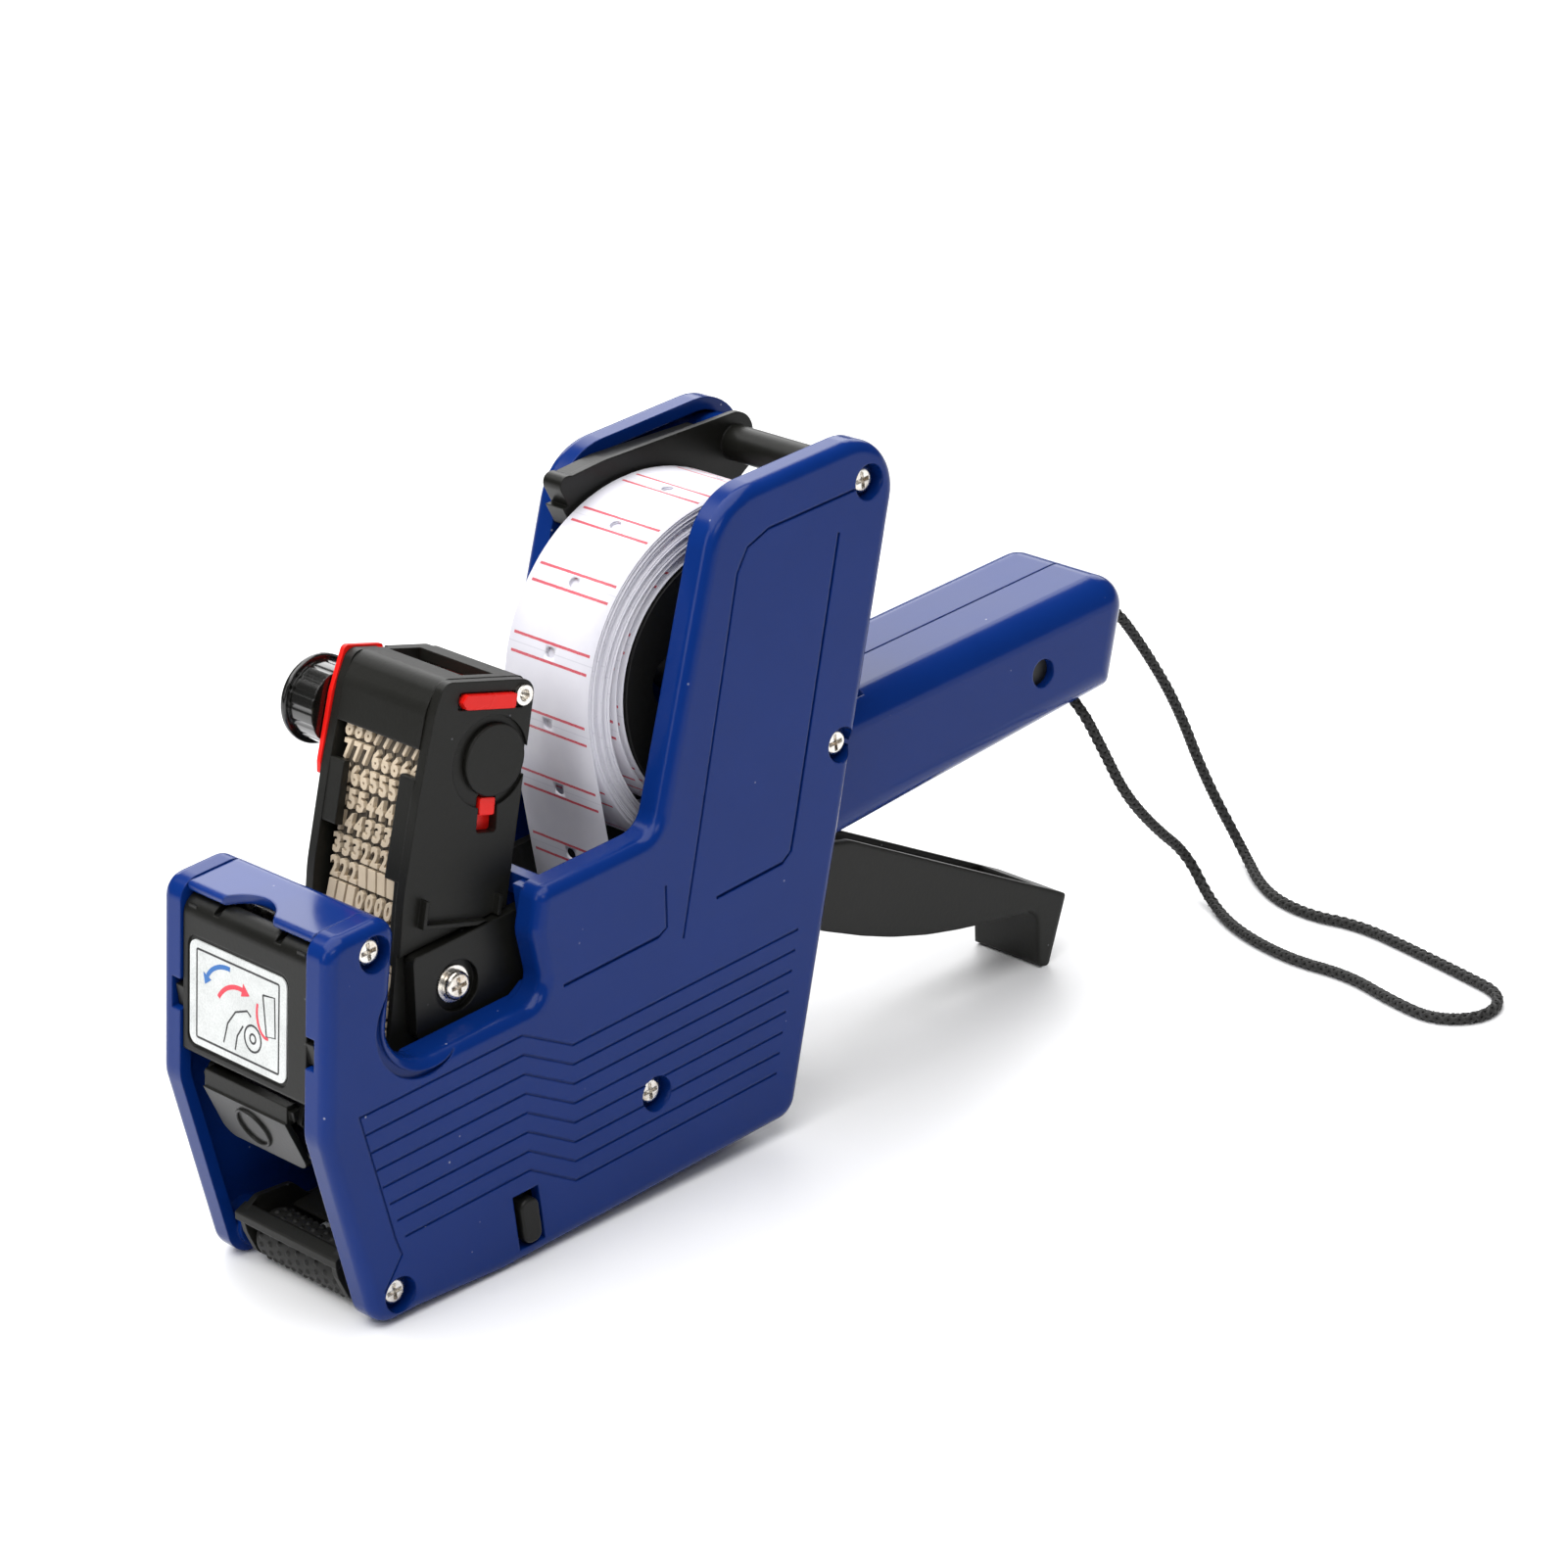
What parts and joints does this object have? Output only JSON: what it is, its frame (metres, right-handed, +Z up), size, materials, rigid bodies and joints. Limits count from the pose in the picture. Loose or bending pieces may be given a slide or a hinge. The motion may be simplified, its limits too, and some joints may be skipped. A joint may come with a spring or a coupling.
{
  "type": "price labeling gun",
  "caption": "Hand-held price labeling gun: slim two-part casing with rear handle, hinged print head of type bands, ink cover, label roll and squeeze trigger.",
  "frame": {"origin": "floor level under the middle of the gun's bounding box, wrist cord left out", "axes": "+X from the nose towards the handle, +Y towards the user's right, +Z up; the gun stands on its base edge and trigger foot, so its base line leans back by 2.9 degrees"},
  "size_m": [0.2256, 0.1058, 0.1165],
  "materials": {
    "blue_plastic": "moulded, satin gloss",
    "black_plastic": "fine texture",
    "gloss_black": "polished",
    "beige_rubber": "matte",
    "red_plastic": "satin",
    "steel": "plated",
    "paper": "label paper",
    "card": "printed card, left blank",
    "ink_foam": "inked foam",
    "rubber_black": "matte",
    "clear_plastic": "translucent",
    "cord_fabric": "braided"
  },
  "bodies": {
    "casing": {"left_shell": "blue_plastic", "right_shell": "blue_plastic", "nose_bridge": "blue_plastic", "shell_screws": "steel", "platen": "black_plastic", "applicator_axle": "steel", "label_guide_clip": "clear_plastic", "pivot_pins": "steel", "return_spring": "steel", "label_strip": "paper", "yoke_pin": "steel", "bottom_cover_pin": "steel", "nose_pins": "steel", "roll_cradles": "black_plastic", "screw_spacers": "black_plastic", "cord_pin": "steel", "wrist_cord": "cord_fabric", "cord_knot": "cord_fabric"},
    "lever": {"trigger": "black_plastic", "left_print_arm": "black_plastic", "right_print_arm": "black_plastic", "head_cheek_left": "black_plastic", "head_cheek_right": "black_plastic", "head_cover": "black_plastic", "head_pin": "steel", "type_block": "black_plastic", "head_screws": "steel", "type_wheels": "black_plastic", "wheel_axle": "steel", "type_band_1": "beige_rubber", "type_band_2": "beige_rubber", "type_band_3": "beige_rubber", "type_band_4": "beige_rubber", "type_band_5": "beige_rubber", "type_band_6": "beige_rubber", "type_band_7": "beige_rubber", "type_band_8": "beige_rubber", "trigger_shafts": "steel", "head_cap": "black_plastic", "head_lock_bar": "red_plastic"},
    "selector_slide": {"selector_indicator": "red_plastic"},
    "selector_knob": {"selector_knob": "gloss_black", "selector_shaft": "steel"},
    "driven_wheel": {"driven_type_wheel": "black_plastic"},
    "ink_cover": {"ink_cover": "black_plastic", "ink_cover_card": "card"},
    "ink_arm": {"ink_arm": "black_plastic", "ink_axle": "steel"},
    "ink_roller": {"ink_roller": "ink_foam", "ink_core": "black_plastic"},
    "applicator_roller": {"applicator_roller": "rubber_black"},
    "roll": {"label_roll": "paper", "roll_hub": "black_plastic"},
    "yoke": {"roll_yoke": "black_plastic"},
    "feed_wheel": {"feed_wheel": "black_plastic"},
    "feed_pawl": {"feed_pawl": "black_plastic"},
    "bottom_cover": {"bottom_cover": "black_plastic"},
    "left_latch": {"left_cover_latch": "black_plastic"},
    "right_latch": {"right_cover_latch": "black_plastic"},
    "head_slider": {"head_slider": "red_plastic"}
  },
  "joints": [
    {"name": "squeeze", "type": "hinge", "parent": "casing", "child": "lever", "pos_m": [0.00819, 0, 0.04965], "axis": [0, -1, 0], "range_deg": [0, 22], "stiffness_Nm_per_rad": 0.9, "springref_deg": -20.05},
    {"name": "selector_pull", "type": "slide", "parent": "lever", "child": "selector_slide", "axis": [0, 1, 0], "range_m": [0, 0.0154]},
    {"name": "selector_turn", "type": "hinge", "parent": "selector_slide", "child": "selector_knob", "pos_m": [-0.05708, 0, 0.08754], "axis": [0, 1, 0], "continuous": true},
    {"name": "type_wheel_turn", "type": "hinge", "parent": "lever", "child": "driven_wheel", "pos_m": [-0.05239, 0, 0.08427], "axis": [0, 1, 0], "continuous": true},
    {"name": "ink_cover_open", "type": "hinge", "parent": "casing", "child": "ink_cover", "pos_m": [-0.08811, 0, 0.06318], "axis": [0, 1, 0], "range_deg": [0, 90]},
    {"name": "ink_arm_swing", "type": "hinge", "parent": "casing", "child": "ink_arm", "pos_m": [-0.08475, 0, 0.05815], "axis": [0, 1, 0], "range_deg": [0, 7]},
    {"name": "ink_roller_spin", "type": "hinge", "parent": "ink_arm", "child": "ink_roller", "pos_m": [-0.08365, 0, 0.03047], "axis": [0, 1, 0], "continuous": true},
    {"name": "applicator_spin", "type": "hinge", "parent": "casing", "child": "applicator_roller", "pos_m": [-0.08365, 0, 0.00483], "axis": [0, 1, 0], "continuous": true},
    {"name": "roll_spin", "type": "hinge", "parent": "casing", "child": "roll", "pos_m": [0.00366, 0, 0.07976], "axis": [0, 1, 0], "continuous": true},
    {"name": "yoke_lift", "type": "hinge", "parent": "casing", "child": "yoke", "pos_m": [0.02722, 0, 0.10889], "axis": [0, 1, 0], "range_deg": [0, 80]},
    {"name": "feed_spin", "type": "hinge", "parent": "casing", "child": "feed_wheel", "pos_m": [-0.02819, 0, 0.01876], "axis": [0, 1, 0], "continuous": true},
    {"name": "pawl_rock", "type": "hinge", "parent": "casing", "child": "feed_pawl", "pos_m": [-0.02819, 0, 0.01876], "axis": [0, -1, 0], "range_deg": [0, 23]},
    {"name": "bottom_cover_open", "type": "hinge", "parent": "casing", "child": "bottom_cover", "pos_m": [-0.0022, 0, 0.00596], "axis": [0, -1, 0], "range_deg": [0, 60]},
    {"name": "left_latch_push", "type": "slide", "parent": "casing", "child": "left_latch", "axis": [0, 1, 0], "range_m": [0, 0.0018], "stiffness_N_per_m": 300, "springref_m": -0.002},
    {"name": "right_latch_push", "type": "slide", "parent": "casing", "child": "right_latch", "axis": [0, -1, 0], "range_m": [0, 0.0018], "stiffness_N_per_m": 300, "springref_m": -0.002},
    {"name": "head_slider_slide", "type": "slide", "parent": "lever", "child": "head_slider", "axis": [-0.2671, 0, -0.9637], "range_m": [0, 0.0025]}
  ],
  "couplings": [
    {"joint": "ink_arm_swing", "follows": "squeeze", "ratio": 0.3},
    {"joint": "pawl_rock", "follows": "squeeze", "ratio": 1},
    {"joint": "type_wheel_turn", "follows": "selector_turn", "ratio": -1}
  ]
}
